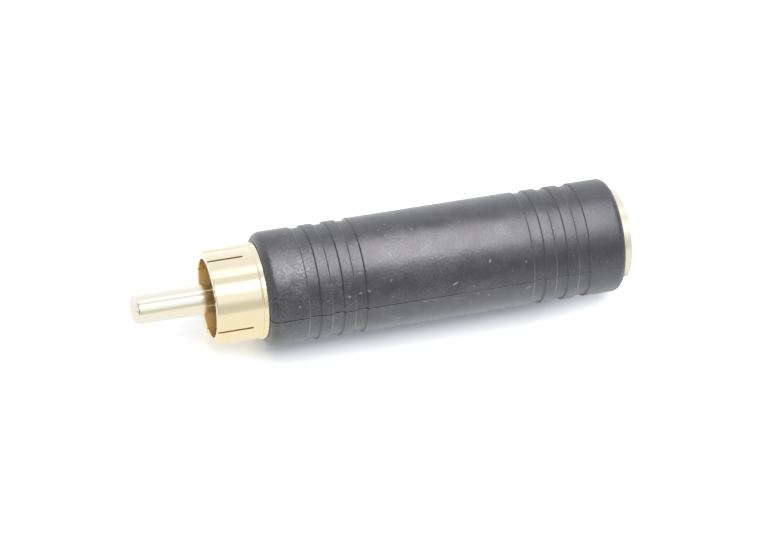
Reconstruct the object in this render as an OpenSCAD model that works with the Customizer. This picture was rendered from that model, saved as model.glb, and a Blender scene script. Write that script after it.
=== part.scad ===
// Inline adapter: a phono plug at one end of a ringed barrel and a 6.35 mm jack socket at the other.
// It stands on the socket's flange. Z runs along its axis, from the socket to the plug.
// The barrel's two halves meet in the plane X = 0.

/* [Barrel] */
// Wall of the barrel round its hollow
barrel_wall = 1.3; // [1.2:0.05:1.8]
// Rounding of the barrel's edge at the socket end
socket_end_r = 0.8; // [0.3:0.05:1.1]
// Rounding of the barrel's edge at the plug end
plug_end_r = 0.9; // [0.3:0.05:0.9]
// Length of the narrow seat round the bushing at the socket end
seat_len = 5.5; // [3:0.1:7]
// Thickness of the rib that backs the contact carrier
rib_t = 0.9; // [0.4:0.05:1]
// Diameter of the hole through that rib
rib_hole_d = 7.2; // [7:0.1:7.8]
// Room for the solder joints between the rib and the plug's hub
tail_room = 1.1; // [1:0.05:6]

/* [Grip rings] */
// Recesses at each end of the barrel
ring_count = 3; // [1:1:4]
// Distance from the barrel's end face to its first recess
ring_start = 4.0; // [2.5:0.05:5]
// Width of a recess
ring_w = 1.25; // [0.5:0.05:1.6]
// Distance from one recess to the next
ring_pitch = 2.45; // [2:0.05:3]
// Depth of a recess
ring_depth = 0.2; // [0.1:0.01:0.25]
// Chamfer on the edges of a recess
ring_edge = 0.05; // [0.02:0.01:0.09]

/* [Parting joint] */
// Width of the open line between the two halves at the surface
seam_w = 0.12; // [0.04:0.01:0.2]
// Depth of that line under the barrel's surface
seam_depth = 0.35; // [0.28:0.01:0.4]
// Width of the locating tongue along the lower half's edges
tongue_w = 0.36; // [0.2:0.01:0.4]
// Height of the locating tongue
tongue_h = 0.4; // [0.2:0.05:0.6]
// Distance from the tongue's ends to the barrel's end faces
tongue_inset = 4.5; // [3.5:0.1:8]

/* [Jack bushing] */
// Bore of the socket
jack_bore_d = 6.5; // [6.4:0.01:6.6]
// Wall of the bushing's tube
bushing_wall = 0.75; // [0.65:0.01:0.85]
// Length of the bushing from its flange face
bushing_len = 16.0; // [14:0.1:17]
// Diameter of the flange
flange_d = 9.4; // [8.8:0.1:10.2]
// Thickness of the flange, which stands proud of the barrel
flange_t = 0.95; // [0.5:0.05:1.5]
// Rounding of the flange's edges
flange_edge_r = 0.15; // [0.05:0.01:0.2]
// Chamfer at the mouth of the bore
mouth_chamfer = 0.4; // [0.1:0.05:0.5]
// Thickness of the collar that holds the bushing in the barrel
collar_t = 1.2; // [0.6:0.1:2]
// Length of the spigot at the bushing's rear
spigot_len = 3.0; // [1.5:0.1:4]
// How far the spigot is turned down below the tube
spigot_step = 0.25; // [0.15:0.01:0.35]

/* [Contact carrier] */
// How much wider the carrier's bore is than the socket's, on each side
carrier_relief = 0.25; // [0.2:0.01:0.3]
// How far a plug reaches in from the flange face
plug_reach = 30.5; // [30.2:0.05:30.7]
// Room left beyond the plug's tip
tip_room = 0.8; // [0.4:0.05:1]
// Wall of the carrier round its bore
carrier_wall = 1.15; // [1.1:0.05:1.3]
// Thickness of the carrier's end wall
end_wall = 2.1; // [1.9:0.05:2.2]
// Web left under the strip channels
channel_web = 0.5; // [0.45:0.01:0.55]

/* [Contact strips] */
// Thickness of the contact strip
strip_t = 0.35; // [0.25:0.01:0.4]
// Width of the tip spring where it lies in its channel
spring_w = 3.0; // [2.4:0.1:3]
// Width of the tip spring's free arm
arm_w = 2.2; // [1.6:0.1:2.4]
// Distance from the axis to the spring's nose
nose_r = 2.1; // [1.9:0.05:2.4]
// Distance from the plug's tip back to its neck, where the spring's nose rests
neck_back = 6.5; // [6:0.1:7]
// Distance along the axis from the nose to the spring's root
arm_len = 5.6; // [5:0.1:6]
// Distance along the axis from the nose to the spring's free end
toe_len = 3.2; // [2.5:0.1:3.5]
// Radius of the strip's bends at its centre line
bend_r = 0.55; // [0.4:0.05:0.7]
// Width of the ground strap
strap_w = 2.4; // [1.6:0.1:2.6]
// Distance from the bushing's collar to the solder at the strap's foot
strap_gap = 1.0; // [0.2:0.1:2]
// Diameter of the rivets
rivet_d = 1.0; // [0.8:0.05:1.1]
// Diameter of the rivet heads
rivet_head_d = 1.8; // [1.4:0.05:1.9]
// Thickness of the rivet heads
rivet_head_t = 0.25; // [0.15:0.01:0.28]
// Length of the rivets in the carrier
rivet_grip = 1.7; // [1:0.1:2]
// Length of the solder fillets at the strap's ends
fillet_len = 0.55; // [0.3:0.05:0.6]

/* [Phono plug] */
// Bore of the plug's skirt
skirt_bore_d = 8.2; // [8:0.05:8.4]
// Wall of the skirt
skirt_wall = 0.8; // [0.5:0.05:0.9]
// How far the skirt's mouth lies beyond the barrel's end face
skirt_len = 5.45; // [4.8:0.05:7]
// Rounding of the skirt's mouth
mouth_r = 0.12; // [0.05:0.01:0.2]
// How far the collar against the barrel stands out from the skirt
stop_step = 0.15; // [0.05:0.05:0.3]
// Thickness of the collar against the barrel
stop_t = 0.55; // [0.3:0.05:0.8]
// Width of a slot
slot_w = 0.28; // [0.15:0.01:0.5]
// Length of a slot from the mouth
slot_len = 3.75; // [2:0.05:4]
// Turn from the X axis of the first saw cut, which makes two slots
saw_turn = -6.0; // [-20:0.1:20]
// Angle between the first saw cut and the second
saw_cross = 81.7; // [75:0.1:90]
// Wall of the shank through the barrel's end
shank_wall = 0.4; // [0.3:0.05:0.5]
// How far the ring that holds the shank in the barrel goes into the barrel's wall
keeper_step = 0.2; // [0.1:0.05:0.35]
// Thickness of that ring
keeper_t = 1.0; // [0.6:0.05:1.2]
// Length of the shank between that ring and the barrel's end face
shank_len = 1.4; // [1.2:0.05:1.8]
// Length of the hub behind that ring
hub_len = 1.4; // [1.1:0.05:1.5]
// How far the skirt's bore goes in below the barrel's end face
floor_drop = 1.6; // [1.2:0.05:1.9]

/* [Pin] */
// Diameter of the centre pin
pin_d = 3.175; // [3.1:0.005:3.25]
// How far the pin's tip stands beyond the skirt's mouth
pin_reach = 8.05; // [7:0.05:10]
// Rounding of the pin's tip
tip_r = 1.05; // [0.4:0.05:1.2]
// Diameter of the pin's shank in its bush
pin_shank_d = 2.0; // [1.6:0.05:2.2]
// Thickness of the bush's disc in the skirt
bush_disc_t = 1.05; // [0.6:0.05:1.3]
// Diameter of the bush's spigot through the hub
bush_spigot_d = 5.2; // [4.4:0.1:5.6]
// Outer diameter of the push-on washer
washer_d = 4.0; // [3.2:0.1:4.4]
// Thickness of the push-on washer
washer_t = 0.25; // [0.15:0.01:0.3]
// How far the pin's tail passes the strip that it is soldered to
tail_over = 0.4; // [0.2:0.05:0.5]
// Diameter of the solder fillet on the strip
solder_d = 2.9; // [2.5:0.05:2.9]
// Height of the solder fillet on the strip
solder_h = 0.8; // [0.4:0.05:0.9]

/* [Fits] */
// Clearance of a turned or moulded piece in its seat
fit = 0.05; // [0.03:0.01:0.07]
// Clearance round a strip in its channel or pocket
strip_room = 0.1; // [0.06:0.01:0.12]

/* [Hidden] */
$fn = 96;

eps = 0.01;
over = 1;
upper = 1;
lower = -1;

jack_r = jack_bore_d / 2;
carrier_bore_r = jack_r + carrier_relief;
carrier_r = carrier_bore_r + carrier_wall;
cavity_r = carrier_r + fit;
barrel_r = cavity_r + barrel_wall;
barrel_z0 = flange_t;
seam_r = barrel_r - seam_depth;
tongue_y = (cavity_r + seam_r) / 2;

bushing_r = jack_r + bushing_wall;
collar_z = barrel_z0 + seat_len;
spigot_z = bushing_len - spigot_len;
spigot_r = bushing_r - spigot_step;

carrier_end = plug_reach + tip_room;
carrier_rear = carrier_end + end_wall;
rivet_z = carrier_end + end_wall / 2;
nose_z = plug_reach - neck_back;

strip_in = max(carrier_bore_r + channel_web, bushing_r);
strip_mid = strip_in + strip_t / 2;
strip_out = strip_in + strip_t;
pocket_x = strip_out + rivet_head_t + strip_room;
pocket_w = spring_w + 4 * strip_room;
channel_w = spring_w + 2 * strip_room;
root_z = nose_z + arm_len;
window_z0 = nose_z - toe_len - 2 * strip_room;
window_z1 = root_z + bend_r;

skirt_bore_r = skirt_bore_d / 2;
skirt_r = skirt_bore_r + skirt_wall;
shank_r = skirt_bore_r + shank_wall;
keeper_r = max(cavity_r, shank_r) + keeper_step;
hub_r = strip_in;
hub_z = carrier_rear + rib_t + tail_room;
keeper_z0 = hub_z + hub_len;
keeper_z1 = keeper_z0 + keeper_t;
barrel_z1 = keeper_z1 + shank_len;
barrel_len = barrel_z1 - barrel_z0;
mouth_z = barrel_z1 + skirt_len;
floor_z = barrel_z1 - floor_drop;
strap_z0 = collar_z + collar_t + strap_gap + fillet_len;
strap_z1 = keeper_z0 - fillet_len - fit;

pin_r = pin_d / 2;
pin_shank_r = pin_shank_d / 2;
pin_tip_z = mouth_z + pin_reach;
bush_face_z = floor_z + bush_disc_t;
tail_z = carrier_rear - tail_over;
leg_top = carrier_rear + strip_t;

// Unit vector along v
function unit(v) = v / norm(v);

// Points of an arc that rounds the corner b between a and c
function corner(a, b, c, r, n = 6) =
  let(
    u = unit(a - b),
    v = unit(c - b),
    half = acos(u * v) / 2,
    centre = b + unit(u + v) * r / sin(half),
    p = b + u * r / tan(half) - centre,
    q = b + v * r / tan(half) - centre,
    start = atan2(p.y, p.x),
    sweep = (atan2(q.y, q.x) - start + 540) % 360 - 180
  )
  [for (i = [0:n]) centre + r * [cos(start + sweep * i / n), sin(start + sweep * i / n)]];

// A path with each inner corner rounded
function rounded(path, r) = [
  path[0],
  for (i = [1:len(path) - 2]) each corner(path[i - 1], path[i], path[i + 1], r),
  path[len(path) - 1]
];

// The point at distance s to the left of a path's point i
function beside(path, i, s) =
  let(
    last = len(path) - 1,
    from = i == 0 ? unit(path[1] - path[0]) : unit(path[i] - path[i - 1]),
    to = i == last ? from : unit(path[i + 1] - path[i]),
    along = unit(from + to),
    side = [-along.y, along.x]
  )
  path[i] + side * s / (side * [-to.y, to.x]);

// Outline of a strip of thickness t bent along a path
function strip_outline(path, t) = concat(
  [for (i = [0:len(path) - 1]) beside(path, i, t / 2)],
  [for (i = [len(path) - 1:-1:0]) beside(path, i, -t / 2)]
);

// Edge of one recess in the barrel's outline, from its lower side to its upper side
function recess(z) = [
  [barrel_r, z - ring_edge],
  [barrel_r - ring_edge, z],
  [barrel_r - ring_depth, z],
  [barrel_r - ring_depth, z + ring_w],
  [barrel_r - ring_edge, z + ring_w],
  [barrel_r, z + ring_w + ring_edge]
];

// Tube or disc between two heights
module ring(r_out, r_in, z0, z1) {
  translate([0, 0, z0]) difference() {
    cylinder(r = r_out, h = z1 - z0);
    translate([0, 0, -over]) cylinder(r = r_in, h = z1 - z0 + 2 * over);
  }
}

// A strip bent in the XZ plane and cut to width w
module bent_strip(path, w) {
  translate([0, w / 2, 0])
    rotate([90, 0, 0])
      linear_extrude(w)
        polygon(strip_outline(path, strip_t));
}

// Half outline of the barrel, with its rounded ends and its recesses
module barrel_outline() {
  low_z = barrel_z0 + socket_end_r;
  high_z = barrel_z1 - plug_end_r;
  low_r = barrel_r - socket_end_r;
  high_r = barrel_r - plug_end_r;
  polygon(concat(
    [[0, barrel_z0], [low_r, barrel_z0], [low_r, low_z], [barrel_r, low_z]],
    [for (i = [0:ring_count - 1]) each recess(barrel_z0 + ring_start + i * ring_pitch)],
    [for (i = [ring_count - 1:-1:0]) each recess(barrel_z1 - ring_start - ring_w - i * ring_pitch)],
    [[barrel_r, high_z], [high_r, high_z], [high_r, barrel_z1], [0, barrel_z1]]
  ));
  translate([low_r, low_z]) circle(socket_end_r);
  translate([high_r, high_z]) circle(plug_end_r);
}

// Pocket in the barrel's wall for a strip, on one side of the joint
module strip_pocket(side, z0, z1) {
  x = side > 0 ? 0 : -pocket_x;
  translate([x, -pocket_w / 2, z0]) cube([pocket_x, pocket_w, z1 - z0]);
}

// Everything that is hollow inside the barrel
module barrel_hollow() {
  translate([0, 0, barrel_z0 - over]) cylinder(r = bushing_r + fit, h = seat_len + 2 * over);
  translate([0, 0, collar_z]) cylinder(r = cavity_r, h = carrier_rear - collar_z);
  translate([0, 0, carrier_rear - over]) cylinder(d = rib_hole_d, h = rib_t + 2 * over);
  translate([0, 0, carrier_rear + rib_t]) cylinder(r = cavity_r, h = keeper_z0 - carrier_rear - rib_t);
  translate([0, 0, keeper_z0 - fit]) cylinder(r = keeper_r + fit, h = keeper_t + 2 * fit);
  translate([0, 0, keeper_z0]) cylinder(r = shank_r + fit, h = barrel_z1 - keeper_z0 + over);
  strip_pocket(upper, window_z0, carrier_rear + rib_t + eps);
  strip_pocket(lower, strap_z0 - fillet_len - strip_room, keeper_z0 - fit + eps);
}

// The open line round the barrel where its halves meet
module seam_line() {
  difference() {
    translate([-seam_w / 2, -barrel_r - over, barrel_z0 - over])
      cube([seam_w, 2 * (barrel_r + over), barrel_len + 2 * over]);
    translate([0, 0, barrel_z0 + seam_depth]) cylinder(r = seam_r, h = barrel_len - 2 * seam_depth);
  }
}

// Tongue or groove along both edges of the joint
module joint_tongue(room) {
  z0 = barrel_z0 + tongue_inset - room;
  w = tongue_w + 2 * room;
  for (y = [-tongue_y, tongue_y])
    translate([-room, y - w / 2, z0])
      cube([tongue_h + 2 * room, w, barrel_len - 2 * tongue_inset + 2 * room]);
}

// One half of the barrel
module barrel_half(side) {
  x = side > 0 ? 0 : -2 * barrel_r;
  difference() {
    intersection() {
      rotate_extrude() barrel_outline();
      translate([x, -2 * barrel_r, 0]) cube([2 * barrel_r, 4 * barrel_r, barrel_z1 + over]);
    }
    barrel_hollow();
    seam_line();
  }
}

module upper_shell() {
  color("#4c4c50") difference() {
    barrel_half(upper);
    joint_tongue(fit);
  }
}

module lower_shell() {
  color("#57575b") {
    barrel_half(lower);
    joint_tongue(0);
  }
}

module jack_bushing() {
  color("#e6cf8f") difference() {
    union() {
      rotate_extrude() {
        square([flange_d / 2 - flange_edge_r, flange_t]);
        translate([0, flange_edge_r]) square([flange_d / 2, flange_t - 2 * flange_edge_r]);
        for (z = [flange_edge_r, flange_t - flange_edge_r])
          translate([flange_d / 2 - flange_edge_r, z]) circle(flange_edge_r);
      }
      cylinder(r = bushing_r, h = spigot_z);
      cylinder(r = spigot_r, h = bushing_len);
      translate([0, 0, collar_z]) cylinder(r = cavity_r - fit, h = collar_t);
    }
    translate([0, 0, -over]) cylinder(r = jack_r, h = bushing_len + 2 * over);
    translate([0, 0, -eps])
      cylinder(r1 = jack_r + mouth_chamfer + eps, r2 = jack_r, h = mouth_chamfer + eps);
  }
}

// Rivet hole, or the rivet's own shank, out through the carrier's end wall
module rivet_shank(side, r) {
  translate([side * (strip_in - rivet_grip), 0, rivet_z])
    rotate([0, side * 90, 0])
      cylinder(r = r, h = rivet_grip + strip_t);
}

// Chamfer on the carrier's rear edge, where the tip spring turns over it
module bend_relief() {
  translate([0, channel_w / 2, 0])
    rotate([90, 0, 0])
      linear_extrude(channel_w)
        polygon([
          [strip_in - bend_r, carrier_rear + eps],
          [strip_in + eps, carrier_rear - bend_r],
          [strip_in + eps, carrier_rear + eps]
        ]);
}

module contact_carrier() {
  color("#d9d4c6") difference() {
    translate([0, 0, spigot_z]) cylinder(r = carrier_r, h = carrier_rear - spigot_z);
    translate([0, 0, spigot_z - over]) cylinder(r = spigot_r + fit, h = spigot_len + fit + over);
    translate([0, 0, spigot_z]) cylinder(r = carrier_bore_r, h = carrier_end - spigot_z);
    translate([0, 0, tail_z - strip_room]) cylinder(r = pin_shank_r + strip_room, h = end_wall);
    translate([strip_in, -channel_w / 2, window_z0]) cube([barrel_r, channel_w, carrier_rear]);
    translate([0, -channel_w / 2, window_z0]) cube([barrel_r, channel_w, window_z1 - window_z0]);
    translate([-strip_in - barrel_r, -channel_w / 2, spigot_z - over])
      cube([barrel_r, channel_w, carrier_rear]);
    bend_relief();
    for (side = [upper, lower]) rivet_shank(side, rivet_d / 2);
  }
}

module tip_spring() {
  leg_z = carrier_rear + strip_t / 2;
  path = rounded([
    [-pin_d / 2, leg_z],
    [strip_mid, leg_z],
    [strip_mid, root_z],
    [nose_r + strip_t / 2, nose_z],
    [strip_mid - strip_t, nose_z - toe_len]
  ], bend_r);
  color("#c9a56a") difference() {
    bent_strip(path, spring_w);
    for (y = [-1, 1])
      translate([0, y * (arm_w + barrel_r) / 2, 0])
        translate([0, -barrel_r / 2, 0])
          cube([barrel_r, barrel_r, root_z]);
    translate([0, 0, carrier_rear - over]) cylinder(r = pin_shank_r + fit, h = 2 * over + strip_t);
    rivet_shank(upper, rivet_d / 2);
  }
}

module ground_strap() {
  color("#c9a56a") difference() {
    translate([-strip_out, -strap_w / 2, strap_z0]) cube([strip_t, strap_w, strap_z1 - strap_z0]);
    rivet_shank(lower, rivet_d / 2);
  }
}

// Rivet through a strip, into the carrier's end wall
module rivet(side) {
  rivet_shank(side, rivet_d / 2);
  translate([side * strip_out, 0, rivet_z])
    rotate([0, side * 90, 0])
      cylinder(d = rivet_head_d, h = rivet_head_t);
}

module tip_rivet() {
  color("#b9b6ae") rivet(upper);
}

module ground_rivet() {
  color("#b9b6ae") rivet(lower);
}

// Solder wedge from the end of the strap down to the turned piece that it lies on
module strap_fillet(z, way, r) {
  far_z = z + way * fillet_len;
  difference() {
    translate([0, strap_w / 2, 0])
      rotate([90, 0, 0])
        linear_extrude(strap_w)
          polygon([
            [-strip_out, z],
            [strip_t - strip_in, z],
            [strip_t - strip_in, far_z],
            [-strip_in, far_z]
          ]);
    translate([0, 0, z - over]) cylinder(r = r, h = 2 * over);
  }
}

module bushing_solder() {
  color("#b4b6b8") strap_fillet(strap_z0, -1, bushing_r);
}

module shell_solder() {
  color("#b4b6b8") strap_fillet(strap_z1, 1, hub_r);
}

module rca_shell() {
  color("#ecd79a") difference() {
    rotate_extrude() {
      translate([0, hub_z]) square([hub_r, keeper_z0 - hub_z + eps]);
      translate([0, keeper_z0]) square([keeper_r, keeper_t]);
      translate([0, keeper_z0]) square([shank_r, barrel_z1 + fit - keeper_z0 + eps]);
      translate([0, barrel_z1 + fit]) square([skirt_r + stop_step, stop_t]);
      translate([0, barrel_z1 + fit]) square([skirt_r, skirt_len - fit - mouth_r]);
      translate([0, barrel_z1]) square([skirt_r - mouth_r, skirt_len]);
      translate([skirt_r - mouth_r, mouth_z - mouth_r]) circle(mouth_r);
    }
    translate([0, 0, floor_z]) cylinder(r = skirt_bore_r, h = mouth_z - floor_z + over);
    translate([0, 0, hub_z - over]) cylinder(d = bush_spigot_d, h = mouth_z - hub_z);
    for (turn = [saw_turn, saw_turn + saw_cross])
      rotate([0, 0, turn])
        translate([-barrel_r, -slot_w / 2, mouth_z - slot_len])
          cube([2 * barrel_r, slot_w, slot_len + over]);
  }
}

module rca_insulator() {
  color("#e9e6dc") difference() {
    union() {
      translate([0, 0, hub_z]) cylinder(d = bush_spigot_d, h = floor_z - hub_z + eps);
      translate([0, 0, floor_z]) cylinder(r = skirt_bore_r, h = bush_disc_t);
    }
    translate([0, 0, hub_z - over]) cylinder(r = pin_shank_r, h = bush_face_z - hub_z + 2 * over);
  }
}

module rca_pin() {
  color("#e3dcc0") {
    translate([0, 0, tail_z]) cylinder(r = pin_shank_r, h = bush_face_z - tail_z + eps);
    rotate_extrude() {
      translate([0, bush_face_z]) square([pin_r, pin_tip_z - tip_r - bush_face_z]);
      translate([0, bush_face_z]) square([pin_r - tip_r, pin_tip_z - bush_face_z]);
      intersection() {
        translate([pin_r - tip_r, pin_tip_z - tip_r]) circle(tip_r);
        translate([0, bush_face_z]) square([pin_r, pin_tip_z - bush_face_z]);
      }
    }
  }
}

module pin_washer() {
  color("#b9b6ae") ring(washer_d / 2, pin_shank_r, hub_z - washer_t, hub_z);
}

module pin_solder() {
  color("#b4b6b8") difference() {
    translate([0, 0, leg_top]) cylinder(r1 = solder_d / 2, r2 = pin_shank_r + fit, h = solder_h);
    translate([0, 0, leg_top - over]) cylinder(r = pin_shank_r, h = solder_h + 2 * over);
  }
}

upper_shell();
lower_shell();
jack_bushing();
contact_carrier();
tip_spring();
tip_rivet();
ground_strap();
ground_rivet();
bushing_solder();
rca_shell();
shell_solder();
rca_insulator();
rca_pin();
pin_washer();
pin_solder();
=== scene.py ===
import math

import bmesh
import bpy
from mathutils import Matrix, Vector
from mathutils.geometry import tessellate_polygon


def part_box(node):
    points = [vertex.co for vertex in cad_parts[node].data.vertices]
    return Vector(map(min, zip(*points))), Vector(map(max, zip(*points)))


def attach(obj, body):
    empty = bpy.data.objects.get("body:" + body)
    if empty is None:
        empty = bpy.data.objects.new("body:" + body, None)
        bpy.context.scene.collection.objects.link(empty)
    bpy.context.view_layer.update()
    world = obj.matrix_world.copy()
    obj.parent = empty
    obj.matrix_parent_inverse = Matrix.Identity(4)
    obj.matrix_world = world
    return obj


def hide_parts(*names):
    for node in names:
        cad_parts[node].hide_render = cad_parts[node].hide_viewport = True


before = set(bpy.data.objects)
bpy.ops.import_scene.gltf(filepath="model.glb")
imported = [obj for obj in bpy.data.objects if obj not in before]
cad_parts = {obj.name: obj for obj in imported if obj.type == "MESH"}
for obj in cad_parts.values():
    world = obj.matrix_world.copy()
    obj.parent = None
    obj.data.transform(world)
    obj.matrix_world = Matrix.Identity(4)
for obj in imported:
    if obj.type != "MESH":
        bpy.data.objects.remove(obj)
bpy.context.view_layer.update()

# The barrel: two half shells moulded in black plastic with a fine eroded grain, welded along
# the line where they meet. Each end has three shallow recesses as a grip. Years in drawers
# have left pale dust in the grain, light scuffs and a rubbed patch beside the plug.

# The pieces are sized in millimetres, and MM turns them into metres. Heights run along the
# adapter, from the face of the socket's flange at 0 to the tip of the plug's pin.
MM = 0.001

shell_low, shell_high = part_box("upper_shell")
barrel_r = shell_high.x / MM
barrel_z0 = shell_low.z / MM
barrel_z1 = shell_high.z / MM
socket_end_r = 0.8
plug_end_r = 0.9

ring_count = 3
ring_start = 4.0
ring_w = 1.25
ring_pitch = 2.45
ring_depth = 0.2
ring_edge_r = 0.06

# How far the walls of a recess lean: the lower wall at the socket's end and at the plug's end,
# and the higher wall at both.
ring_wall_socket = 0.01
ring_wall_plug = 0.045
ring_wall_high = 0.12

# The open line between the halves is narrow up to one height and wide from another.
seam_half_narrow = 0.02
seam_half_wide = 0.06
seam_narrow_z = 4
seam_wide_z = 36
seam_depth = 0.35
seam_edge_r = 0.06

seat_r = 4.05
collar_z = 6.45
cavity_r = 4.7
rib_r = 3.6
rib_z0 = 33.4
rib_z1 = 34.3
keeper_groove_r = 4.95
keeper_groove_z0 = 36.75
keeper_groove_z1 = 37.85
end_bore_r = 4.55

# How close two points count as one, in an outline and in a mesh, and the turn between faces
# from which their edge stays sharp.
same_point_mm = 1e-4
weld_reach = 2e-4 * MM
sharp_turn = math.radians(38)


def rounded_outline(corners, steps=6):
    """Points (r, z) of an open outline whose corners (r, z, radius) are rounded by arcs."""
    points = [Vector(corners[0][:2])]
    for before, corner, after in zip(corners, corners[1:], corners[2:]):
        at, radius = Vector(corner[:2]), corner[2]
        back = (Vector(before[:2]) - at).normalized()
        ahead = (Vector(after[:2]) - at).normalized()
        if radius == 0:
            points.append(at)
            continue
        half = math.acos(max(-1, min(1, back.dot(ahead)))) / 2
        centre = at + (back + ahead).normalized() * radius / math.sin(half)
        first = at + back * radius / math.tan(half) - centre
        last = at + ahead * radius / math.tan(half) - centre
        start = math.atan2(first.y, first.x)
        sweep = (math.atan2(last.y, last.x) - start + 3 * math.pi) % (2 * math.pi) - math.pi
        for i in range(steps + 1):
            turn = start + sweep * i / steps
            points.append(centre + radius * Vector((math.cos(turn), math.sin(turn))))
    points.append(Vector(corners[-1][:2]))
    return points


def outward(points, i):
    """Unit normal (r, z) on the outer side of an outline that runs up the outside of a piece."""
    before, after = points[max(i - 1, 0)], points[min(i + 1, len(points) - 1)]
    along = (after - before).normalized()
    return Vector((along.y, -along.x))


def on_circle(r, z, turn):
    """A point in metres from its radius and height in mm and its turn in radians."""
    return Vector((r * math.cos(turn), r * math.sin(turn), z)) * MM


def slit_turns(r, half, pitch, edge, columns):
    """Turns at a radius from one slit's edge to the next slit's, closest at the edges."""
    first = math.asin(half / r)
    inner = [first + s / r for s in edge]
    middle = [inner[-1] + (pitch - 2 * inner[-1]) * i / columns for i in range(1, columns)]
    return inner + middle + [pitch - t for t in reversed(inner)]


def skin_rows(outline, turns_at, edge, start, flat_ends=False):
    """Rows of points on an outline's skin between two slits, rounded down to their walls."""
    edge_r = edge[-1]
    rows = []
    for i, point in enumerate(outline):
        normal, around = outward(outline, i), turns_at(point)
        flat = flat_ends and i in (0, len(outline) - 1)
        row = []
        for k, turn in enumerate(around):
            s = edge[min(k, len(around) - 1 - k, len(edge) - 1)]
            sink = 0 if flat else edge_r - math.sqrt(edge_r ** 2 - (edge_r - s) ** 2)
            sunk = point - normal * sink
            row.append(on_circle(sunk.x, sunk.y, start + turn))
        rows.append(row)
    return rows


def make_piece(name, mesh_code):
    """A closed, smooth-shaded mesh object from code that fills a bmesh."""
    bm = bmesh.new()
    mesh_code(bm)
    bmesh.ops.remove_doubles(bm, verts=bm.verts, dist=weld_reach)
    bmesh.ops.holes_fill(bm, edges=bm.edges, sides=0)
    bmesh.ops.recalc_face_normals(bm, faces=bm.faces)
    mesh = bpy.data.meshes.new(name)
    bm.to_mesh(mesh)
    bm.free()
    mesh.shade_smooth()
    mesh.set_sharp_from_angle(angle=sharp_turn)
    piece = bpy.data.objects.new(name, mesh)
    bpy.context.scene.collection.objects.link(piece)
    return piece


def add_patch(bm, rows):
    """Faces between rows of points of equal length."""
    grid = [[bm.verts.new(p) for p in row] for row in rows]
    for low, high in zip(grid, grid[1:]):
        for a, b, c, d in zip(low, low[1:], high[1:], high):
            if len({tuple(v.co) for v in (a, b, c, d)}) > 2:
                bm.faces.new((a, b, c, d))


def add_flat(bm, points):
    """Triangles that fill a flat outline."""
    for a, b, c in tessellate_polygon([points]):
        bm.faces.new([bm.verts.new(points[i]) for i in (a, b, c)])


def recess_corners(z, low_wall):
    floor_r = barrel_r - ring_depth
    return [
        (barrel_r, z - low_wall / 2, ring_edge_r),
        (floor_r, z + low_wall / 2, ring_edge_r),
        (floor_r, z + ring_w - ring_wall_high / 2, ring_edge_r),
        (barrel_r, z + ring_w + ring_wall_high / 2, ring_edge_r),
    ]


def barrel_outside():
    corners = [(seat_r, barrel_z0, 0), (barrel_r, barrel_z0, socket_end_r)]
    for i in range(ring_count):
        corners += recess_corners(barrel_z0 + ring_start + i * ring_pitch, ring_wall_socket)
    for i in reversed(range(ring_count)):
        z = barrel_z1 - ring_start - ring_w - i * ring_pitch
        corners += recess_corners(z, ring_wall_plug)
    corners += [(barrel_r, barrel_z1, plug_end_r), (end_bore_r, barrel_z1, 0)]
    return rounded_outline(corners)


def barrel_inside():
    """The inside from the plug's end down, between the depths that the open line reaches."""
    return [Vector(p) for p in (
        (end_bore_r, barrel_z1 - seam_depth),
        (end_bore_r, keeper_groove_z1),
        (keeper_groove_r, keeper_groove_z1),
        (keeper_groove_r, keeper_groove_z0),
        (cavity_r, keeper_groove_z0),
        (cavity_r, rib_z1),
        (rib_r, rib_z1),
        (rib_r, rib_z0),
        (cavity_r, rib_z0),
        (cavity_r, collar_z),
        (seat_r, collar_z),
        (seat_r, barrel_z0 + seam_depth),
    )]


def seam_gap(z):
    """Half the width of the open line between the halves, which all but closes at the socket."""
    share = max(0, min(1, (z - seam_narrow_z) / (seam_wide_z - seam_narrow_z)))
    return seam_half_narrow + (seam_half_wide - seam_half_narrow) * share


def seam_floor(point):
    """Radius and height of the open line's floor under a point of the outside."""
    z = min(max(point.y, barrel_z0 + seam_depth), barrel_z1 - seam_depth)
    return min(point.x, barrel_r - seam_depth), z


def barrel_half(side):
    """Code for one half: its skin, its inside, the walls of the open line and the joint."""
    columns = 90
    edge = [seam_edge_r * share for share in (0, 0.1, 0.3, 0.6, 1)]
    start = -math.pi / 2 if side > 0 else math.pi / 2

    def outside_turns(p):
        return slit_turns(p.x, seam_gap(p.y), math.pi, edge, columns)

    def inside_turns(p):
        return slit_turns(p.x, 0, math.pi, edge, columns)

    def build(bm):
        outside, inside = barrel_outside(), barrel_inside()
        rows = skin_rows(outside, outside_turns, edge, start)
        add_patch(bm, rows)
        inner = [[on_circle(p.x, p.y, start + t) for t in inside_turns(p)] for p in inside]
        add_patch(bm, [rows[-1]] + inner + [rows[0]])
        floor = []
        for p in outside:
            at = Vector(seam_floor(p))
            if not floor or (at - floor[-1]).length > same_point_mm:
                floor.append(at)
        for end, toward, column in ((0, 1, 0), (math.pi, -1, -1)):
            wall, open_floor, shut_floor = [], [], []
            for p, row in zip(outside, rows):
                r, z = seam_floor(p)
                half_turn = math.asin(seam_gap(p.y) / r)
                wall.append(row[column])
                open_floor.append(on_circle(r, z, start + end + toward * half_turn))
                shut_floor.append(on_circle(r, z, start + end))
            add_patch(bm, [wall, open_floor, shut_floor])
            joint_face = floor + inside[1:-1]
            add_flat(bm, [on_circle(p.x, p.y, start + end) for p in joint_face])

    return build


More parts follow.
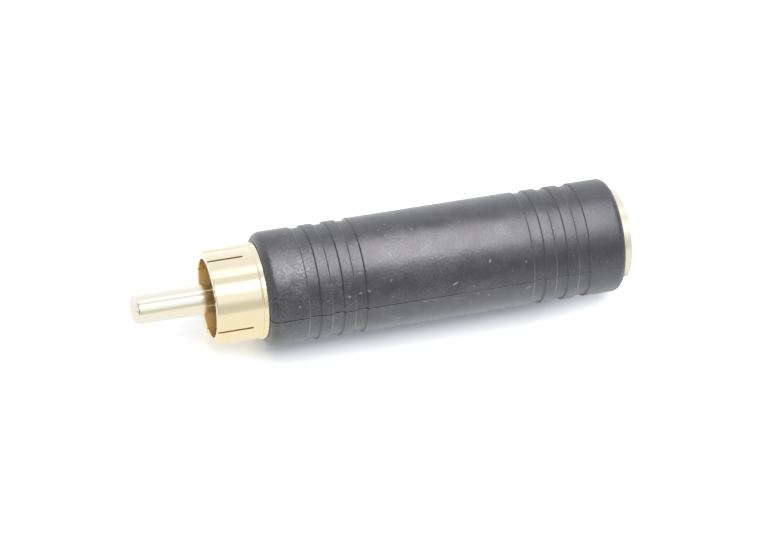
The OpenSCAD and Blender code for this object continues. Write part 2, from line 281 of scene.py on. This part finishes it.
class Wire:
    """A shader socket that takes part in Python arithmetic."""

    def __init__(self, finish, socket):
        self.finish = finish
        self.socket = socket

    def _math(self, operation, *terms, clamp=False):
        settings = {"operation": operation, "use_clamp": clamp}
        return self.finish.node("ShaderNodeMath", settings, dict(enumerate(terms)))

    def __add__(self, other):
        return self._math("ADD", self, other)

    def __sub__(self, other):
        return self._math("SUBTRACT", self, other)

    def __rsub__(self, other):
        return self._math("SUBTRACT", other, self)

    def __mul__(self, other):
        return self._math("MULTIPLY", self, other)

    def __truediv__(self, other):
        return self._math("DIVIDE", self, other)

    __radd__ = __add__
    __rmul__ = __mul__

    def step(self, low, high):
        """0 below low, 1 above high, smooth between."""
        settings = {"interpolation_type": "SMOOTHSTEP"}
        sockets = {"Value": self, "From Min": low, "From Max": high}
        return self.finish.node("ShaderNodeMapRange", settings, sockets)

    def step_mm(self, low, high):
        """The same for a size in metres, between two given in mm."""
        return self.step(low * MM, high * MM)

    def band(self, low, full, still_full, high):
        """1 in a band, 0 below low and above high, smooth between."""
        return self.step(low, full) - self.step(still_full, high)

    def band_mm(self, low, full, still_full, high):
        """The same band for a size in metres, between sizes given in mm."""
        return self.band(low * MM, full * MM, still_full * MM, high * MM)

    def larger(self, other):
        return self._math("MAXIMUM", self, other)

    def clamped(self):
        return self._math("ADD", self, 0, clamp=True)


class Finish:
    """The nodes of a material or of the world, made by one method."""

    def __init__(self, owner):
        self.owner = owner
        owner.use_nodes = True
        self.tree = owner.node_tree
        self.tree.nodes.clear()

    def node(self, kind, settings=None, sockets=None, output=0):
        made = self.tree.nodes.new(kind)
        for key, value in (settings or {}).items():
            if key == "stops":
                while len(made.color_ramp.elements) < len(value):
                    made.color_ramp.elements.new(1)
                for stop, (at, colour) in zip(made.color_ramp.elements, value):
                    stop.position, stop.color = at, colour
            else:
                setattr(made, key, value)
        for key, value in (sockets or {}).items():
            socket = made.inputs[key]
            if isinstance(value, Wire):
                self.tree.links.new(value.socket, socket)
            else:
                socket.default_value = value
        return Wire(self, made.outputs[output]) if made.outputs else self.owner

    def vector(self, operation, *terms, output="Vector"):
        settings = {"operation": operation}
        return self.node("ShaderNodeVectorMath", settings, dict(enumerate(terms)), output)

    def reach(self, vector, axis):
        """How far a vector reaches along an axis."""
        return self.vector("DOT_PRODUCT", vector, axis, output="Value")

    def place(self):
        """Where the surface is, in metres, in the adapter's own frame."""
        return self.node("ShaderNodeTexCoord", output="Object")

    def upward(self, vector):
        """The part of a vector that runs along the adapter."""
        return self.node("ShaderNodeSeparateXYZ", None, {"Vector": vector}, output="Z")

    def stretched(self, place, x, y, z):
        return self.vector("MULTIPLY", place, (x, y, z))

    def cloud(self, place, per_mm, detail, roughness=0.5):
        return self.node("ShaderNodeTexNoise", None, {
            "Vector": place,
            "Scale": per_mm / MM,
            "Detail": detail,
            "Roughness": roughness,
        })

    def shaken(self, place, per_mm, reach_mm):
        """The place, moved a little by noise, which makes round spots ragged."""
        sockets = {"Vector": place, "Scale": per_mm / MM, "Detail": 2}
        noise = self.node("ShaderNodeTexNoise", None, sockets, output="Color")
        centred = self.vector("ADD", place, (-reach_mm * MM / 2,) * 3)
        return self.vector("MULTIPLY_ADD", noise, (reach_mm * MM,) * 3, centred)

    def slanted(self, place, degrees, squeeze):
        """The place, turned about X and squeezed along its new Z, for marks that lie aslant."""
        rotation = (math.radians(degrees), 0, 0)
        slant = self.node("ShaderNodeMapping", None, {"Vector": place, "Rotation": rotation})
        return self.stretched(slant, 1, 1, squeeze)

    def blotch(self, place, centre_mm, reach_mm):
        """1 round a point given in mm, fading to 0 at its reach."""
        centre = tuple(c * MM for c in centre_mm)
        away = self.vector("DISTANCE", place, centre, output="Value")
        return 1 - away.step_mm(0.3 * reach_mm, reach_mm)

    def smear(self, place, turn, height_mm, tilt, width_mm, length_mm):
        """1 in a slim spot on the barrel, tilted from the axis in degrees, and 0 round it."""
        turn = math.radians(turn)
        depth_mm = 1
        spot = self.node("ShaderNodeMapping", {"vector_type": "TEXTURE"}, {
            "Vector": place,
            "Location": on_circle(barrel_r, height_mm, turn),
            "Rotation": (math.radians(-tilt), 0, turn),
            "Scale": [0.5 * size * MM for size in (depth_mm, width_mm, length_mm)],
        })
        return 1 - self.vector("LENGTH", spot, output="Value").step(0.55, 1.1)

    def specks(self, place, per_mm, radius, share):
        """Round spots, up to a radius given in cells, in a share of the cells."""
        settings = {"feature": "F1"}
        sockets = {"Vector": place, "Scale": per_mm / MM}
        near = self.node("ShaderNodeTexVoronoi", settings, sockets, output="Distance")
        lot = self.node("ShaderNodeTexVoronoi", settings, sockets, output="Color")
        lot = self.node("ShaderNodeSeparateColor", None, {"Color": lot}, output="Red")
        core = radius * 0.6
        return (1 - near.step(core, radius)) * lot.step(1 - share, 1.001 - share)

    def blend(self, share, first, second):
        """The first colour where the share is 0, the second where it is 1."""
        # The colours of a Mix node are its inputs 6 and 7 and its output 2.
        settings = {"data_type": "RGBA", "clamp_factor": True}
        return self.node("ShaderNodeMix", settings, {0: share, 6: first, 7: second}, output=2)

    def relief(self, height, depth_mm, strength=1.0):
        sockets = {"Height": height, "Distance": depth_mm * MM, "Strength": strength}
        return self.node("ShaderNodeBump", None, sockets)

    def surface(self, **sockets):
        named = {key.replace("_", " "): value for key, value in sockets.items()}
        shader = self.node("ShaderNodeBsdfPrincipled", None, named)
        return self.node("ShaderNodeOutputMaterial", None, {"Surface": shader})


# The turn of the barrel that faces the camera, in degrees from -Y toward +X, and the way from
# the barrel's middle to its lower edge as the camera sees it.
front_turn = 38.3
lower_edge = (-math.cos(math.radians(front_turn)), -math.sin(math.radians(front_turn)), 0)

# Painted paler colours: the floor's painted reflection on the barrel's lower edge and the tent's
# painted sheen on its top.
floor_reflection_colour = (0.165, 0.165, 0.174, 1)
top_sheen_colour = (0.092, 0.089, 0.084, 1)
pale_wall_colour = (0.15, 0.148, 0.15, 1)
dust_colour = (0.42, 0.42, 0.41, 1)

# Rubbed places: a point in mm, how far each reaches in mm, and how strongly it shows.
worn_places = (
    ((4.70, -3.75, 36.5), 3.0, 1.0),
    ((4.80, -3.60, 23.0), 6.0, 0.2),
    ((4.76, -3.65, 22.4), 1.1, 0.45),
    ((4.84, -3.54, 26.3), 1.1, 0.45),
    ((5.20, -3.00, 14.0), 1.1, 0.45),
)


def barrel_plastic(name, dark, pale, scuffed, smears):
    """Grained plastic with dust, motes, scuffs and rubbed places, painted paler on its lower
    edge as a painted reflection of the floor and on its top as a painted sheen, and paler on the
    recess walls that face the plug near the socket.
    """
    finish = Finish(bpy.data.materials.new(name))
    place = finish.place()
    height = finish.upward(place)
    grain = finish.cloud(place, 4.5, detail=3, roughness=0.55)
    mottle = finish.cloud(place, 0.55, detail=4, roughness=0.65)
    ragged = finish.shaken(place, per_mm=4.5, reach_mm=0.22)

    plug_grip = height.step_mm(27, 32)
    handled = 1 - height.step_mm(5, 14) + plug_grip
    worn = plug_grip * 0.22
    for centre, reach, weight in worn_places:
        worn = worn.larger(finish.blotch(ragged, centre, reach) * weight)
    thin_wear = mottle.step(0.40, 0.60) * 0.15
    thick_wear = worn * mottle.step(0.32, 0.52) * 1.3
    rubbed = (thin_wear + thick_wear) * grain.step(0.38, 0.64)

    low = finish.reach(place, lower_edge) / (barrel_r * MM)
    patches = finish.cloud(ragged, 0.9, detail=5, roughness=0.6).step(0.50, 0.75)
    # The lower edge, toward the table, is painted paler in patches: a painted reflection of the
    # floor.
    painted_floor_reflection = low.step(0.30, 0.95) * (0.92 + patches * 0.4)
    # The top side is painted paler: a painted sheen for the tent's glancing reflection.
    painted_top_sheen = (0 - low).step(0.45, 0.95)
    # Recess walls near the socket that face the plug are made paler.
    facing = finish.upward(finish.node("ShaderNodeNewGeometry", output="Normal"))
    pale_plug_walls = facing.step(0.3, 0.7) * (1 - height.step_mm(14, 22))

    along_barrel = finish.stretched(ragged, 1, 1, 0.3)
    scuffs = finish.cloud(along_barrel, 1.5, detail=5, roughness=0.8).step(0.67, 0.73)
    aslant = finish.slanted(ragged, degrees=35, squeeze=0.25)
    dashes = finish.specks(aslant, 0.55, radius=0.07, share=0.35)
    motes = finish.specks(ragged, 0.62, radius=0.085, share=0.7)
    fine_motes = finish.specks(ragged, 1.7, radius=0.12, share=0.16)
    marks = motes.larger(fine_motes).larger(dashes) * 0.6
    for *spot, weight in smears:
        marks = marks.larger(finish.smear(ragged, *spot) * weight)
    dust = (marks + scuffs * scuffed + rubbed * 0.34 + patches * 0.06).clamped()

    colour = finish.blend(painted_floor_reflection, finish.blend(grain, dark, pale), floor_reflection_colour)
    colour = finish.blend(painted_top_sheen, colour, top_sheen_colour)
    colour = finish.blend(pale_plug_walls, colour, pale_wall_colour)
    return finish.surface(
        Base_Color=finish.blend(dust, colour, dust_colour),
        Roughness=0.20 + mottle * 0.24 + handled * 0.07 + marks * 0.3,
        IOR=1.62,
        Coat_Weight=(mottle.step(0.3, 0.7) * 0.3 + 0.1) * (1 - handled * 0.6),
        Coat_Roughness=0.30,
        Sheen_Weight=1.0,
        Sheen_Roughness=0.33,
        Normal=finish.relief(grain + mottle * 1.35 + marks * 0.5, depth_mm=0.024),
    )


def dress(name, material, code=None):
    """Give a piece its finish, and put a mesh in its place where there is code for one."""
    if code is None:
        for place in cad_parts[name].material_slots:
            place.material = material
        return
    piece = make_piece(name + "_form", code)
    piece.data.materials.append(material)
    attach(piece, "root")
    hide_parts(name)


# Specks and smears of dust: turn in degrees, height in mm, tilt from the axis in degrees,
# width and length in mm, and how strongly each shows.
upper_smears = (
    (-77.1, 19.7, -26, 0.21, 0.78, 1.3),
    (-59.5, 15.8, -61, 0.24, 0.50, 0.60),
    (-58.4, 32.7, -32, 0.20, 0.50, 0.40),
    (-73.6, 33.2, -14, 0.16, 0.55, 0.35),
    (-72.8, 31.1, 10, 0.20, 0.34, 0.40),
    (-70.0, 28.9, 35, 0.22, 0.50, 0.60),
    (-60.0, 36.1, 77, 0.18, 0.46, 0.35),
    (11.2, 32.8, 20, 0.20, 0.30, 0.70),
    (-7.8, 26.6, 13, 0.20, 0.30, 0.60),
    (-81.0, 26.4, -6, 0.17, 0.42, 0.40),
)
lower_smears = (
    (-109.6, 25.7, -12, 0.28, 1.20, 0.60),
    (-95.6, 11.8, -25, 0.50, 0.80, 0.40),
    (-91.8, 22.9, 0, 0.22, 0.70, 0.42),
    (-92.8, 21.8, 7, 0.22, 0.90, 0.38),
    (-94.8, 19.5, 7, 0.24, 1.50, 0.36),
    (-92.6, 17.2, -3, 0.24, 0.32, 0.60),
    (-97.7, 29.7, 62, 0.16, 0.38, 0.45),
    (-95.7, 31.3, 12, 0.16, 0.28, 0.35),
    (-91.3, 26.6, -6, 0.18, 0.24, 0.40),
    (-115.1, 12.9, -11, 0.30, 0.90, 0.22),
)

# The halves are one plastic. The lower half's colours are painted paler: a painted reflection of
# the table that it lies on.
upper_black = barrel_plastic(
    "upper_plastic", dark=(0.032, 0.030, 0.040, 1), pale=(0.057, 0.055, 0.065, 1),
    scuffed=0.35, smears=upper_smears,
)
lower_black_lit = barrel_plastic(
    "lower_plastic_lit", dark=(0.056, 0.055, 0.064, 1), pale=(0.080, 0.079, 0.090, 1),
    scuffed=0.3, smears=lower_smears,
)
dress("upper_shell", upper_black, barrel_half(1))
dress("lower_shell", lower_black_lit, barrel_half(-1))

# The socket's bushing: a tube turned from brass and plated with gold, its flange proud of the
# barrel's end and its collar held in the barrel. A plug's sleeve slides into its bore.

bushing_low, bushing_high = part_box("jack_bushing")
flange_z = bushing_low.z / MM
flange_r = bushing_high.x / MM
flange_edge_r = 0.15
bushing_r = 4.0
bushing_z1 = bushing_high.z / MM
bushing_collar_r = 4.65
bushing_collar_z1 = collar_z + 1.2
jack_r = 3.25
jack_mouth_r = 3.65
jack_mouth_z = 0.4
spigot_r = 3.75
spigot_z = 13.0

# Inside the skirt the plating is browner, up to this radius and height.
stain_colour = (0.98, 0.78, 0.44, 1)
stain_r = 4.78
stain_z = 44.50


def turned(outline):
    """Code for a piece turned from a closed outline of points (r, z)."""
    columns = 144
    closed = outline + [outline[0]]

    def build(bm):
        around = [2 * math.pi * k / columns for k in range(columns + 1)]
        add_patch(bm, [[on_circle(p.x, p.y, t) for t in around] for p in closed])

    return build


def bushing_outline():
    return rounded_outline([
        (jack_r, bushing_z1, 0),
        (jack_r, jack_mouth_z, 0.15),
        (jack_mouth_r, flange_z, 0.1),
        (flange_r, flange_z, flange_edge_r),
        (flange_r, barrel_z0, flange_edge_r),
        (bushing_r, barrel_z0, 0),
        (bushing_r, collar_z, 0),
        (bushing_collar_r, collar_z, 0.05),
        (bushing_collar_r, bushing_collar_z1, 0.05),
        (bushing_r, bushing_collar_z1, 0),
        (bushing_r, spigot_z, 0),
        (spigot_r, spigot_z, 0),
        (spigot_r, bushing_z1, 0),
    ])


def gold_plate(name, bright, deep, roughness, stained=0):
    """Plated, lathe-turned brass with fine specks, and browner inside the plug's skirt."""
    finish = Finish(bpy.data.materials.new(name))
    place = finish.place()
    height = finish.upward(place)
    radius = finish.vector("LENGTH", finish.stretched(place, 1, 1, 0), output="Value")
    rings = finish.node("ShaderNodeCombineXYZ", None, {"X": radius, "Y": height})
    lathe_marks = finish.cloud(rings, 7, detail=2, roughness=0.6)
    tone = finish.cloud(place, 0.35, detail=3)
    specks = finish.cloud(place, 5, detail=3, roughness=0.7).step(0.60, 0.75)
    mottle = finish.cloud(place, 1.3, detail=4, roughness=0.7)
    within = height.band_mm(barrel_z1, barrel_z1 + 1, stain_z, stain_z + 0.12)
    stain = (1 - radius.step_mm(stain_r, stain_r + 0.1)) * within * stained
    skin = finish.blend(specks * 0.35 + tone * 0.3, bright, deep)
    return finish.surface(
        Base_Color=finish.blend(stain, skin, stain_colour),
        Metallic=1.0,
        Roughness=roughness + lathe_marks * 0.05 + specks * 0.06 + stain * 0.15,
        Normal=finish.relief(lathe_marks + mottle * 2, depth_mm=0.004, strength=0.25),
    )


socket_gold = gold_plate(
    "socket_plate", bright=(0.93, 0.86, 0.67, 1), deep=(0.90, 0.78, 0.54, 1), roughness=0.27,
)
dress("jack_bushing", socket_gold, turned(bushing_outline()))

# The plug's outer contact: turned brass, gold plated, with a hub and a ring that the barrel
# holds, a thin collar against the barrel's end and a skirt sawn into four springy fingers.

plug_low, plug_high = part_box("rca_shell")
hub_r = 4.0
hub_z = plug_low.z / MM
bush_hole_r = 2.6
keeper_r = 4.9
keeper_z0 = 36.8
keeper_z1 = 37.8
shank_r = 4.5
stop_r = plug_high.x / MM
stop_z0 = barrel_z1 + 0.05
stop_z1 = stop_z0 + 0.55
skirt_r = 4.9
skirt_bore_r = 4.1
skirt_floor_z = 37.6
mouth_z = plug_high.z / MM
mouth_edge_r = 0.12

# The saw cuts' middles, in degrees round the skirt, with the first one again at the end.
slot_turns = (-2.9, 78.8, 177.1, 258.8, 357.1)
slot_half = 0.12
slot_z = mouth_z - 3.75
slot_edge_r = 0.03


def skirt_code(bm):
    fingers = rounded_outline([
        (skirt_r, slot_z, 0),
        (skirt_r, slot_z + slot_edge_r, 0),
        (skirt_r, mouth_z, mouth_edge_r),
        (skirt_bore_r, mouth_z, mouth_edge_r),
        (skirt_bore_r, slot_z + slot_edge_r, 0),
        (skirt_bore_r, slot_z, 0),
    ])
    body = rounded_outline([
        (skirt_bore_r, slot_z, 0),
        (skirt_bore_r, skirt_floor_z, 0.1),
        (bush_hole_r, skirt_floor_z, 0),
        (bush_hole_r, hub_z, 0),
        (hub_r, hub_z, 0.05),
        (hub_r, keeper_z0, 0),
        (keeper_r, keeper_z0, 0.05),
        (keeper_r, keeper_z1, 0.05),
        (shank_r, keeper_z1, 0),
        (shank_r, stop_z0, 0),
        (stop_r, stop_z0, 0.06),
        (stop_r, stop_z1, 0.12),
        (skirt_r, stop_z1, 0.06),
        (skirt_r, slot_z, 0),
    ])
    columns = 32
    edge = [slot_edge_r * share for share in (0, 0.15, 0.45, 1)]
    starts = [math.radians(turn) for turn in slot_turns]

    for start, end in zip(starts, starts[1:]):
        def turns(p):
            return slit_turns(p.x, slot_half, end - start, edge, columns)

        rows = skin_rows(fingers, turns, edge, start, flat_ends=True)
        add_patch(bm, rows)
        for column in (0, -1):
            add_flat(bm, [row[column] for row in rows])
        add_patch(bm, [[on_circle(p.x, p.y, start + t) for t in turns(p)] for p in body])
        under_slot = []
        for p in body:
            half = math.asin(slot_half / p.x)
            under_slot.append([on_circle(p.x, p.y, start + t) for t in (-half, 0, half)])
        add_patch(bm, under_slot)
        add_patch(bm, [under_slot[0], under_slot[-1]])


gold = gold_plate(
    "gold_plate", bright=(0.95, 0.85, 0.62, 1), deep=(0.94, 0.78, 0.49, 1), roughness=0.13,
    stained=0.9,
)
dress("rca_shell", gold, skirt_code)

# The centre pin: turned brass with a paler plating, a rounded tip, and a thin shank that
# goes through the insulating bush to the solder joint inside the barrel.

pin_low, pin_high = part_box("rca_pin")
pin_r = pin_high.x / MM
pin_z0 = pin_low.z / MM
pin_z1 = pin_high.z / MM
pin_shank_r = 1.0
bush_face_z = 38.65

# Corners of the tip: how far inside the pin's side, how far below its end, and the rounding.
pin_tip = ((0, 1.05, 0.2), (0.03, 0.60, 0.3), (0.38, 0.18, 0.5), (1.00, 0, 0.5))


def pin_outline():
    return rounded_outline([
        (0, pin_z0, 0),
        (pin_shank_r, pin_z0, 0.1),
        (pin_shank_r, bush_face_z, 0),
        (pin_r, bush_face_z, 0.05),
        *((pin_r - inside, pin_z1 - below, radius) for inside, below, radius in pin_tip),
        (0, pin_z1, 0),
    ], steps=8)


pale_gold = gold_plate(
    "pin_plate", bright=(0.94, 0.89, 0.74, 1), deep=(0.92, 0.84, 0.66, 1), roughness=0.14,
)
dress("rca_pin", pale_gold, turned(pin_outline()))

# Inside: the nylon carrier and bush, the bronze strips, the tinned rivets and washer and the
# solder fillets. They show only through the socket's bore and the skirt's mouth.


def satin(name, colour, roughness, metallic, grain_per_mm, grain_depth):
    """A plain finish with a fine grain in its colour, gloss and relief."""
    finish = Finish(bpy.data.materials.new(name))
    grain = finish.cloud(finish.place(), grain_per_mm, detail=3, roughness=0.6)
    deep = tuple(0.82 * c for c in colour) + (1,)
    return finish.surface(
        Base_Color=finish.blend(grain, deep, colour + (1,)),
        Metallic=metallic,
        Roughness=roughness + grain * 0.15,
        Normal=finish.relief(grain, grain_depth, strength=0.5),
    )


# Each finish has its colour, roughness and metal, the grain's scale per mm and depth in mm,
# and the pieces that it is for.
for slot, colour, roughness, metallic, grain_per_mm, grain_depth, names in (
    ("insulator_plastic", (0.72, 0.69, 0.62), 0.45, 0.0, 3.0, 0.01,
     ("contact_carrier", "rca_insulator")),
    ("spring_bronze", (0.80, 0.55, 0.30), 0.28, 1.0, 6.0, 0.004,
     ("tip_spring", "ground_strap")),
    ("rivet_tin", (0.62, 0.61, 0.58), 0.35, 1.0, 5.0, 0.006,
     ("tip_rivet", "ground_rivet", "pin_washer")),
    ("solder", (0.66, 0.67, 0.68), 0.32, 1.0, 2.5, 0.02,
     ("bushing_solder", "shell_solder", "pin_solder")),
):
    material = satin(slot, colour, roughness, metallic, grain_per_mm, grain_depth)
    for name in names:
        dress(name, material)

# The table under the adapter, as it lies in the photograph: a pale sheet that touches the
# barrel along its lowest line. It is one-sided, so the adapter shows from behind it too.

# The table, the camera and the lamps are sized in metres.
table_half = 0.5
table_turn = math.radians(-6.7)
table_side = (-math.sin(table_turn), math.cos(table_turn), 0)
table_middle_mm = (0, 0, 26)

paper_colour = (0.84, 0.84, 0.84, 1)
extra_for_camera = (0.6, 0.6, 0.6, 1)
# The camera's lift, with a painted blue shade beneath the skirt, and what gloss mirrors, with
# painted reflections by the plug and painted shade by the barrel.
lift_colour = (0.95, 1, 1.1, 1)
painted_shade_by_skirt = (0.66, 0.84, 1.2, 1)
mirrored_colour = (1.02, 1.03, 1.05, 1)
mirrored_by_plug = (1.04, 1.02, 0.90, 1)
mirrored_behind_plug = (1.20, 1.23, 1.38, 1)
mirrored_shade = (0.34, 0.36, 0.40, 1)
mirrored_share = 0.85


def table_finish():
    """Pale paper with the adapter's shadow, lifted to white for the camera and for gloss."""
    finish = Finish(bpy.data.materials.new("table"))
    place = finish.place()
    height = finish.upward(place)
    beside = finish.reach(place, table_side)
    seen = finish.node("ShaderNodeLightPath", output="Is Camera Ray")
    mirrored = finish.node("ShaderNodeLightPath", output="Is Glossy Ray")
    back = finish.node("ShaderNodeNewGeometry", output="Backfacing")

    # For the camera the paper is paler, most of all far from the adapter, and past its ends as
    # painted light that washes out the shadows there; beneath the skirt its lift is tinted blue
    # as a painted shade.
    past_ends = height.step_mm(38, 56) * 0.45 + (1 - height.step_mm(0, 12)) * 0.3
    far = (1 - finish.blotch(place, table_middle_mm, 300)) * 0.6
    lift = finish.blend(height.band_mm(37, 40.5, 42, 46), lift_colour, painted_shade_by_skirt)
    lift = finish.blend(seen * (past_ends.larger(far) + 0.14), (0, 0, 0, 1), lift)
    lift = finish.node("ShaderNodeEmission", None, {"Color": lift, "Strength": 1.0})
    paper = finish.node("ShaderNodeBsdfDiffuse", None, {"Color": paper_colour})
    paler = finish.node("ShaderNodeBsdfDiffuse", None, {"Color": extra_for_camera})
    paler = finish.node("ShaderNodeAddShader", None, {0: paper, 1: paler})
    paper = finish.node("ShaderNodeMixShader", None, {0: seen, 1: paper, 2: paler})
    paper = finish.node("ShaderNodeAddShader", None, {0: paper, 1: lift})

    # Gloss mirrors it as white paper, with a painted shade where the barrel lies over it, a
    # painted warm reflection by the plug and a painted brighter, bluer reflection behind it.
    by_plug = height.band_mm(36, 38, 43.5, 45.5)
    behind_plug = beside.step_mm(3, 7) * height.band_mm(40, 46, 48.5, 51.5)
    clear_of_barrel = beside.larger(0 - beside).step_mm(2.2, 5.4)
    clear_of_barrel = clear_of_barrel.larger(height.step_mm(36.5, 38.5))
    white = finish.blend(by_plug, mirrored_colour, mirrored_by_plug)
    white = finish.blend(behind_plug, white, mirrored_behind_plug)
    white = finish.blend(clear_of_barrel, mirrored_shade, white)
    white = finish.node("ShaderNodeEmission", None, {"Color": white, "Strength": 1.0})

    mirrored = mirrored * mirrored_share
    lit = finish.node("ShaderNodeMixShader", None, {0: mirrored, 1: paper, 2: white})
    clear = finish.node("ShaderNodeBsdfTransparent")
    shown = finish.node("ShaderNodeMixShader", None, {0: back, 1: lit, 2: clear})
    return finish.node("ShaderNodeOutputMaterial", None, {"Surface": shown})


table_mesh = bpy.data.meshes.new("table")
table_mesh.from_pydata([
    Matrix.Rotation(table_turn, 3, "Z") @ Vector((-shell_high.y, y * table_half, z * table_half))
    for y, z in ((-1, -1), (1, -1), (1, 1), (-1, 1))
], [], [(0, 1, 2, 3)])
table = bpy.data.objects.new("table", table_mesh)
bpy.context.scene.collection.objects.link(table)
table_mesh.materials.append(table_finish())

# The camera, as the photographer held it: above the seam's side of the barrel and a little
# toward the plug's end, and rolled so that the barrel rises to the right.

aim = Vector((0, 0, 25.7 * MM))
camera_far = 0.404
camera_azimuth = math.radians(front_turn)
camera_rise = math.radians(12.9)
barrel_slope = math.radians(9.1)
lens_px = 3880
image_px = 768

toward_camera = Vector((math.sin(camera_azimuth), -math.cos(camera_azimuth), 0))
toward_top = Vector((math.cos(camera_azimuth), math.sin(camera_azimuth), 0))
barrel_axis = Vector((0, 0, 1))

to_camera = math.cos(camera_rise) * toward_camera + math.sin(camera_rise) * barrel_axis
along = (to_camera.z * to_camera - barrel_axis).normalized()
across = to_camera.cross(along)
right = math.cos(barrel_slope) * along - math.sin(barrel_slope) * across
up = math.sin(barrel_slope) * along + math.cos(barrel_slope) * across

camera_data = bpy.data.cameras.new("camera")
camera_data.sensor_width = 36
camera_data.lens = camera_data.sensor_width * lens_px / image_px
camera_data.clip_start = 0.01
camera_data.clip_end = 10
camera = bpy.data.objects.new("camera", camera_data)
bpy.context.scene.collection.objects.link(camera)
camera_axes = Matrix((right, up, to_camera)).transposed().to_4x4()
camera.matrix_world = Matrix.Translation(aim + camera_far * to_camera) @ camera_axes
bpy.context.scene.camera = camera

# The light: a wide soft box over the table, and the walls of a light tent. Polished metal
# mirrors the walls, their windows and the darker opening that the photographer looks through.

lamp_far = 0.7


def soft_box(name, angle, lean, width, height, radiance):
    """A lamp at an angle above the camera, seen from the barrel, that leans toward the plug."""
    data = bpy.data.lights.new(name, "AREA")
    data.shape = "RECTANGLE"
    data.size = width
    data.size_y = height
    data.energy = radiance * math.pi * width * height
    lamp = bpy.data.objects.new(name, data)
    bpy.context.scene.collection.objects.link(lamp)
    turn = math.radians(angle)
    side = math.cos(turn) * toward_camera + math.sin(turn) * toward_top
    side = (side + lean * barrel_axis).normalized()
    width_axis = (barrel_axis - barrel_axis.dot(side) * side).normalized()
    lamp_axes = Matrix((width_axis, side.cross(width_axis), side)).transposed().to_4x4()
    lamp.matrix_world = Matrix.Translation(aim + lamp_far * side) @ lamp_axes
    return lamp


roof_light = soft_box("roof_light", angle=28, lean=-0.25, width=0.75, height=0.55, radiance=2.4)
roof_light.visible_glossy = False

# Two strips of the soft box light the black barrel's gloss alone, as a photographer flags them
# off the bright plating.
shells = bpy.data.collections.new("shells")
for name in ("upper_shell_form", "lower_shell_form"):
    shells.objects.link(bpy.data.objects[name])
for name, angle, height, radiance in (
    ("gloss_light", 37.5, 0.76, 4.25),
    ("gloss_light_core", 31, 0.3, 1.0),
):
    lamp = soft_box(name, angle, lean=-0.12, width=0.5, height=height, radiance=radiance)
    lamp.visible_camera = lamp.visible_diffuse = lamp.visible_transmission = False
    lamp.data.color = (1.0, 0.975, 0.965)
    lamp.light_linking.receiver_collection = shells

# The tent's wall as metal mirrors it: an angle in degrees upward from the camera round the
# barrel, how bright the wall is there, and its blue.
tent_stops = (
    (-180, 0.90, 1.08),
    (-60, 0.72, 0.96),
    (-38, 0.72, 0.88),
    (-30, 0.67, 0.88),
    (-25, 0.74, 1.00),
    (-14, 1.03, 1.08),
    (8, 1.00, 1.08),
    (26, 0.87, 1.08),
    (43, 0.87, 1.08),
    (62, 0.95, 1.08),
    (92, 0.98, 1.08),
    (112, 1.04, 1.12),
    (130, 1.12, 1.15),
    (150, 1.90, 1.15),
)
tent_red = 0.97
opening_colour = (0.20, 0.19, 0.16, 1)
window_colour = (1, 1, 1.02, 1)
wall_for_matt = (0.34, 0.35, 0.37, 1)

tent = Finish(bpy.data.worlds.new("light_tent"))
camera_ray = tent.node("ShaderNodeLightPath", output="Is Camera Ray")
glossy_ray = tent.node("ShaderNodeLightPath", output="Is Glossy Ray")
clear_ray = tent.node("ShaderNodeLightPath", output="Is Transmission Ray")
gaze = tent.node("ShaderNodeTexCoord", output="Generated")
gaze_along = tent.reach(gaze, barrel_axis)
gaze_turn = tent.node("ShaderNodeMath", {"operation": "ARCTAN2"}, {
    0: tent.reach(gaze, toward_top),
    1: tent.reach(gaze, toward_camera),
}) * math.degrees(1)

walls = tent.node("ShaderNodeValToRGB", {
    "stops": [
        ((angle + 180) / 360, (tent_red * v, v, blue * v, 1)) for angle, v, blue in tent_stops
    ],
}, {"Fac": gaze_turn / 360 + 0.5})
# Metal mirrors the camera's opening, and two windows above it that only gloss picks up.
opening = gaze_along.band(0.05, 0.15, 0.50, 0.70) * gaze_turn.band(-60, -35, 35, 60)
walls = tent.blend(opening, walls, opening_colour)
from_middle = gaze_along + 0.12
windows = gaze_turn.band(0, 8, 20, 29) + gaze_turn.band(42, 50, 53, 69) * 0.7
windows = windows * (1 - (from_middle * from_middle).step(0.08, 0.16)) * glossy_ray
plain = tent.blend(camera_ray.larger(clear_ray), wall_for_matt, (1, 1, 1, 1))
tent_light = tent.node("ShaderNodeBackground", None, {
    "Color": tent.blend(windows, tent.blend(glossy_ray, plain, walls), window_colour),
    "Strength": 1.0 + windows * 0.85,
})
bpy.context.scene.world = tent.node("ShaderNodeOutputWorld", None, {"Surface": tent_light})

bpy.context.scene.view_settings.view_transform = "Standard"
